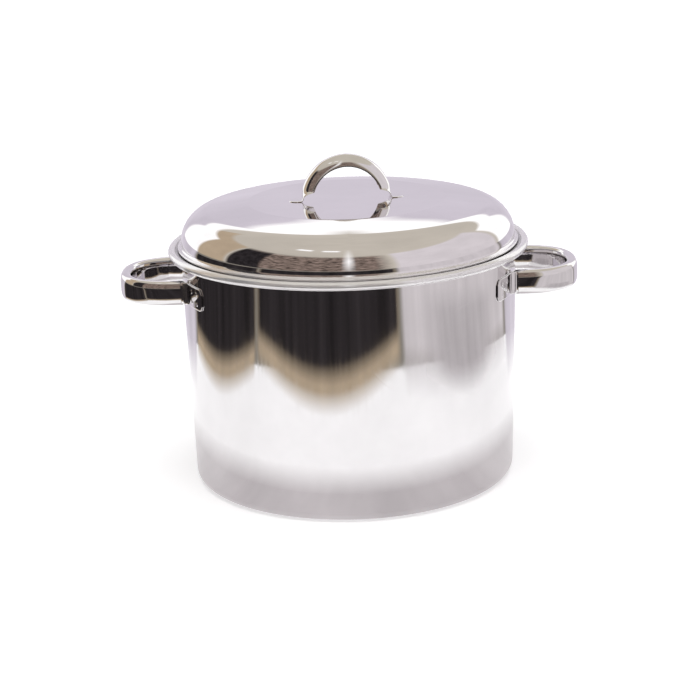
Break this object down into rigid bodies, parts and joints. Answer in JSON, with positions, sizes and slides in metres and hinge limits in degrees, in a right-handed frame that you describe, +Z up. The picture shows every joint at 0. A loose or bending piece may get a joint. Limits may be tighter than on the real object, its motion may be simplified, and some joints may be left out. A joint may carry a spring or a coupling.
{
  "type": "water bath canner",
  "caption": "Polished steel stock pot with two side bow handles, a domed lid with a loop handle, and a lift-out wire rack for canning jars.",
  "frame": {"origin": "centre of the pot's underside, on the surface it stands on", "axes": "+Z up; the side handles lie on the X axis; -Y is the front"},
  "size_m": [0.462, 0.362, 0.3295],
  "materials": {
    "pot_steel": "mirror-polished stainless steel with faint upright buffing marks",
    "lid_steel": "mirror-polished stainless steel",
    "handle_steel": "polished stainless steel strap",
    "rack_wire": "bright drawn stainless wire"
  },
  "bodies": {
    "pot": {"pot_shell": "pot_steel", "pot_rim": "pot_steel", "side_handle_left": "handle_steel", "side_handle_right": "handle_steel"},
    "lid": {"lid_shell": "lid_steel", "lid_loop": "handle_steel"},
    "rack": {"rack_center_ring": "rack_wire", "rack_hub_ring": "rack_wire", "rack_mid_ring": "rack_wire", "rack_base_ring": "rack_wire", "rack_hub_rail": "rack_wire", "rack_outer_rail": "rack_wire", "rack_divider_1": "rack_wire", "rack_divider_2": "rack_wire", "rack_divider_3": "rack_wire", "rack_divider_4": "rack_wire", "rack_divider_5": "rack_wire", "rack_divider_6": "rack_wire", "rack_foot_1": "rack_wire", "rack_foot_2": "rack_wire", "rack_foot_3": "rack_wire", "rack_eye_1": "rack_wire", "rack_eye_2": "rack_wire", "rack_eye_3": "rack_wire", "rack_eye_4": "rack_wire"},
    "rack_bail_left": {"rack_bail_left": "rack_wire"},
    "rack_bail_right": {"rack_bail_right": "rack_wire"}
  },
  "joints": [
    {"name": "lid_lift", "type": "slide", "parent": "pot", "child": "lid", "axis": [0, 0, 1], "range_m": [0, 0.3]},
    {"name": "rack_lift", "type": "slide", "parent": "pot", "child": "rack", "axis": [0, 0, 1], "range_m": [0, 0.06]},
    {"name": "bail_right_fold", "type": "hinge", "parent": "rack", "child": "rack_bail_right", "pos_m": [0.14735, 0, 0.101], "axis": [0, 1, 0], "range_deg": [0, 90]},
    {"name": "bail_left_fold", "type": "hinge", "parent": "rack", "child": "rack_bail_left", "pos_m": [-0.14735, 0, 0.101], "axis": [0, -1, 0], "range_deg": [0, 90]}
  ]
}
